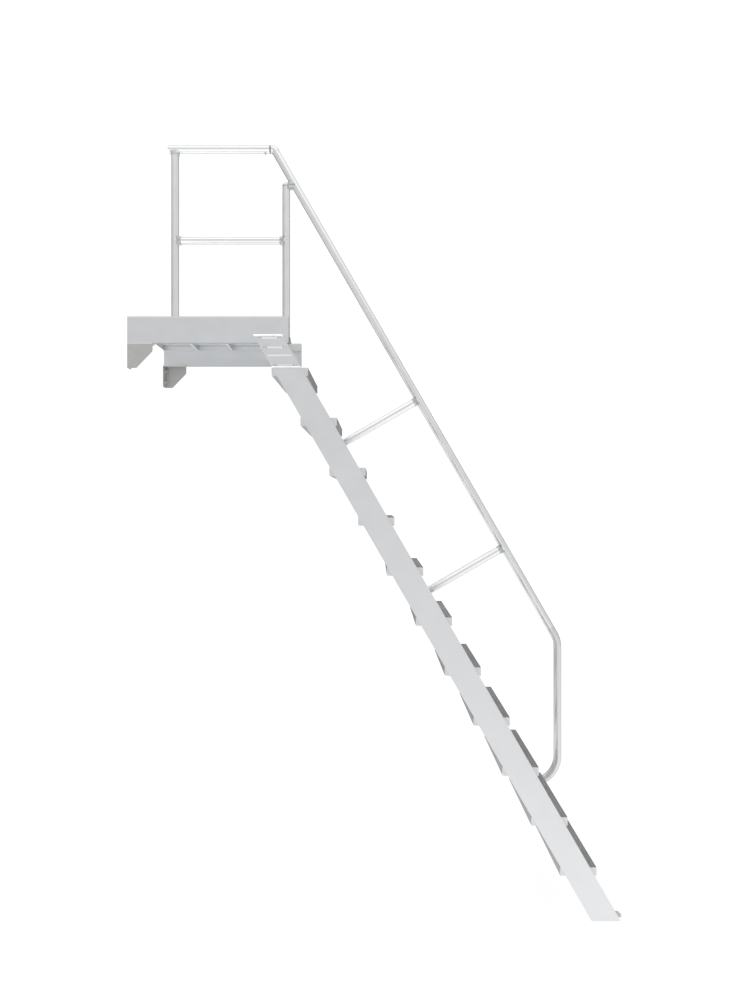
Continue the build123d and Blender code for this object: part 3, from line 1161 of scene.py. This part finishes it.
@dataclass
class Studio:
    """A white floor, soft light all round and the camera.

    The light's numbers are parts of full white, and its shades are shares taken off.
    """

    datum: Datum
    camera_x: float = 1.182
    camera_height: float = 2.004
    camera_distance: float = 3.588
    focal: float = 27.15
    sensor: float = 36.0
    clip_end: float = 200.0
    floor_radius: float = 2.8
    floor_sides: int = 96
    floor_gap: float = 0.3 * MM
    floor_tone: float = 0.15
    floor_glow: float = 0.91
    backdrop: float = 1.1
    level_light: float = 0.64
    above_light: float = 0.5
    above_right_shade: float = 0.6
    below_light: float = 0.62
    wall_shade: float = 0.26
    open_glow: float = 0.1
    behind_shade: float = 0.5

    def floor(self) -> None:
        """Lay the floor."""
        data = bpy.data.meshes.new("studio_floor")
        turns = [2 * pi * index / self.floor_sides for index in range(self.floor_sides)]
        centre = Vector((self.camera_x, self.datum.middle, self.datum.ground - self.floor_gap))
        rim = [centre + polar(self.floor_radius, turn) for turn in turns]
        data.from_pydata(rim, [], [tuple(range(self.floor_sides))])
        thing = bpy.data.objects.new("studio_floor", data)
        bpy.context.scene.collection.objects.link(thing)
        material = bpy.data.materials.new("studio_white")
        material.use_nodes = True
        graph = Graph(material.node_tree)
        values = {
            "Base Color": paint(self.floor_tone, self.floor_tone, self.floor_tone),
            "Roughness": 1.0,
            "Specular IOR Level": 0.0,
            "Emission Color": paint(1, 1, 1),
            "Emission Strength": self.floor_glow,
        }
        shader = graph.node("ShaderNodeBsdfPrincipled", None, values)
        graph.node("ShaderNodeOutputMaterial", None, {"Surface": shader.outputs[0]})
        data.materials.append(material)

    def light(self) -> None:
        """Light the stair from all round: bright above and below, softer level, dull behind."""
        world = bpy.data.worlds.new("studio_light")
        world.use_nodes = True
        bpy.context.scene.world = world
        graph = Graph(world.node_tree)
        ray = graph.node("ShaderNodeTexCoord").outputs["Generated"]
        parts = graph.node("ShaderNodeSeparateXYZ", None, {0: ray})
        right, depth, up = (Signal(graph, parts.outputs[index]) for index in range(3))
        off_right = 1 - right.ramp(0.4, 0.75) * self.above_right_shade
        above = up.ramp(0.3, 0.75) * off_right * self.above_light
        below = (up * -1.0).ramp(-0.2, 0.8) * self.below_light
        level = 1 - abs(up).ramp(0.25, 0.6)
        wall_side = (right * -1.0).ramp(0.5, 0.95) * level * self.wall_shade
        open_side = right.ramp(0.4, 0.9) * level * self.open_glow
        behind = depth.ramp(0.3, 0.75) * up.ramp(-0.36, -0.1) * (1 - up.ramp(0.5, 0.85))
        sky = self.level_light + above + below
        power = sky * (1 - wall_side + open_side) * (1 - behind * self.behind_shade)
        grey = graph.node("ShaderNodeCombineXYZ", None, {0: power, 1: power, 2: power})
        values = {"Color": grey.outputs[0], "Strength": 1.0}
        soft = graph.node("ShaderNodeBackground", None, values).outputs[0]
        values = {"Color": paint(1, 1, 1), "Strength": self.backdrop}
        white = graph.node("ShaderNodeBackground", None, values).outputs[0]
        seen = graph.node("ShaderNodeLightPath").outputs["Is Camera Ray"]
        both = graph.node("ShaderNodeMixShader", None, {0: seen, 1: soft, 2: white})
        graph.node("ShaderNodeOutputWorld", None, {"Surface": both.outputs[0]})

    def camera(self) -> None:
        """Set up the camera level with the middle of the stair's height."""
        data = bpy.data.cameras.new("studio_camera")
        data.sensor_fit = "VERTICAL"
        data.sensor_height = self.sensor
        data.lens = self.focal
        data.clip_end = self.clip_end
        thing = bpy.data.objects.new("studio_camera", data)
        bpy.context.scene.collection.objects.link(thing)
        y = self.datum.outer - self.camera_distance
        thing.location = (self.camera_x, y, self.datum.ground + self.camera_height)
        thing.rotation_euler = (pi / 2, 0, 0)
        bpy.context.scene.camera = thing

    def build(self) -> None:
        """Build the floor, the light and the camera."""
        self.floor()
        self.light()
        self.camera()
        bpy.context.scene.view_settings.view_transform = "Standard"


def main() -> None:
    """Build the classes in order."""
    logging.basicConfig(level=logging.INFO, format="%(name)s: %(message)s")
    datum = Datum()
    finishes = Finishes(datum.middle)
    finishes.build()
    PackedPieces(finishes).dress()
    ConnectorBolts(datum, finishes).build()
    WallFixings(datum, finishes).build()
    FloorFixings(datum, finishes).build()
    TreadWelds(datum, finishes).build()
    HandrailWelds(datum, finishes).build()
    FittingScrews(datum, finishes).build()
    RailJoints(datum, finishes).build()
    Studio(datum).build()


if __name__ == "__main__":
    main()
